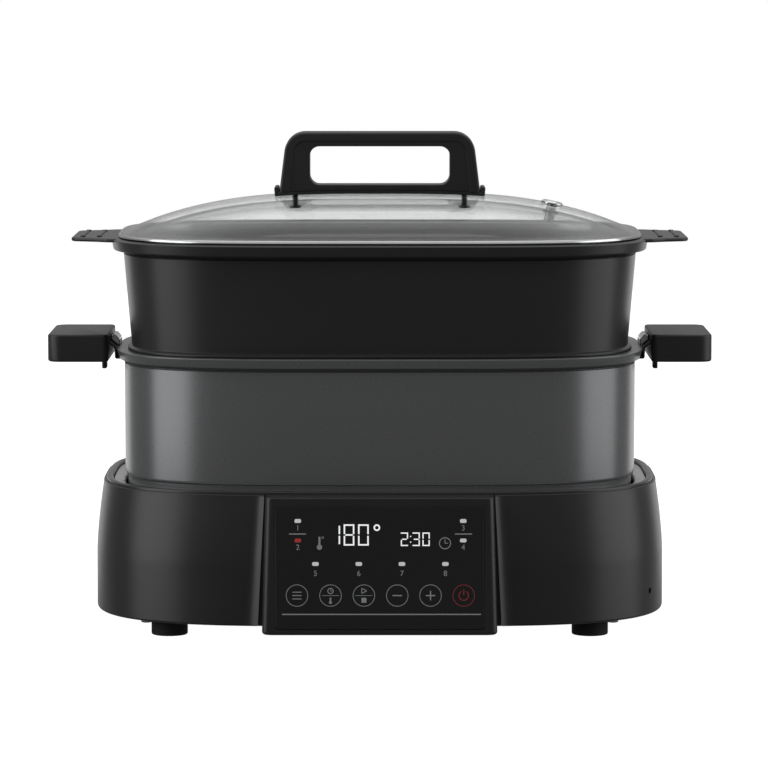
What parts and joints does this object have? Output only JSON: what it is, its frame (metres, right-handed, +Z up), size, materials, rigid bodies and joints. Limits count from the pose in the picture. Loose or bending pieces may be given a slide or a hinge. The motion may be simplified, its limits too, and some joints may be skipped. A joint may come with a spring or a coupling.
{
  "type": "slow cooker",
  "caption": "Tabletop slow cooker: heated base with a touch panel, lift-out pot with side grips, stacking steamer pan and domed glass lid with a bridge handle.",
  "frame": {"origin": "on the table plane, under the middle of the whole cooker", "axes": "+Z up, -Y towards the user and the touch panel, +X to the right along the long side with the grips"},
  "size_m": [0.444, 0.2912, 0.3274],
  "materials": {
    "casing_black": "fine satin moulding",
    "grip_black": "satin",
    "rim_black": "satin",
    "panel_glass": "gloss",
    "liner_steel": "satin",
    "band_steel": "polished",
    "pot_grey": "cast, with a satin non-stick coating",
    "steamer_black": "pressed, with a satin non-stick coating",
    "plate_alloy": "cast and machined",
    "element_steel": "heat darkened",
    "shield_steel": "bright sheet",
    "clear_glass": "polished",
    "rubber_black": "matt",
    "silicone_grey": "matt",
    "board_green": "satin",
    "copper_wire": "enamelled wire",
    "part_white": "moulded",
    "screw_steel": "bright"
  },
  "bodies": {
    "base": {"base_housing": "casing_black", "top_rim": "rim_black", "well_liner": "liner_steel", "heating_plate": "plate_alloy", "heating_element": "element_steel", "heat_shield": "shield_steel", "sensor_holder": "shield_steel", "sensor_spring": "screw_steel", "thermal_fuse": "part_white", "bottom_cover": "casing_black", "panel_bezel": "casing_black", "panel_glass": "panel_glass", "control_board": "board_green", "display_module": "part_white", "power_board": "board_green", "power_relay": "part_white", "transformer": "copper_wire", "board_ribbon": "silicone_grey", "power_inlet": "grip_black", "foot_front_left": "rubber_black", "cover_screw_front_left": "screw_steel", "foot_front_right": "rubber_black", "cover_screw_front_right": "screw_steel", "foot_rear_left": "rubber_black", "cover_screw_rear_left": "screw_steel", "foot_rear_right": "rubber_black", "cover_screw_rear_right": "screw_steel", "plate_bolt_left": "screw_steel", "plate_bolt_right": "screw_steel", "board_screw_front_left": "screw_steel", "board_screw_rear_right": "screw_steel", "inlet_pin_live": "screw_steel", "inlet_pin_neutral": "screw_steel", "inlet_pin_earth": "screw_steel", "inlet_lead_live": "silicone_grey", "inlet_lead_neutral": "silicone_grey", "element_lead_left": "silicone_grey", "element_lead_right": "silicone_grey"},
    "sensor": {"sensor_cap": "plate_alloy"},
    "pot": {"cooking_pot": "pot_grey", "grip_left": "grip_black", "grip_bracket_left": "rim_black", "grip_ferrule_left": "band_steel", "grip_screw_left": "screw_steel", "grip_right": "grip_black", "grip_bracket_right": "rim_black", "grip_ferrule_right": "band_steel", "grip_screw_right": "screw_steel"},
    "steamer": {"steamer_pan": "steamer_black"},
    "lid": {"lid_glass": "clear_glass", "lid_band": "band_steel", "lid_handle": "grip_black", "lid_saddle": "grip_black", "steam_vent": "band_steel", "vent_seal": "silicone_grey", "lid_washer_left": "silicone_grey", "lid_screw_left": "screw_steel", "lid_washer_right": "silicone_grey", "lid_screw_right": "screw_steel"}
  },
  "joints": [
    {"name": "sensor_press", "type": "slide", "parent": "base", "child": "sensor", "axis": [0, 0, 1], "range_m": [-0.002, 0], "stiffness_N_per_m": 800, "springref_m": 0.002, "deforming": ["sensor_spring"]},
    {"name": "pot_lift", "type": "slide", "parent": "base", "child": "pot", "axis": [0, 0, 1], "range_m": [0, 0.12]},
    {"name": "steamer_lift", "type": "slide", "parent": "pot", "child": "steamer", "axis": [0, 0, 1], "range_m": [0, 0.12]},
    {"name": "lid_lift", "type": "slide", "parent": "steamer", "child": "lid", "axis": [0, 0, 1], "range_m": [0, 0.12]}
  ]
}
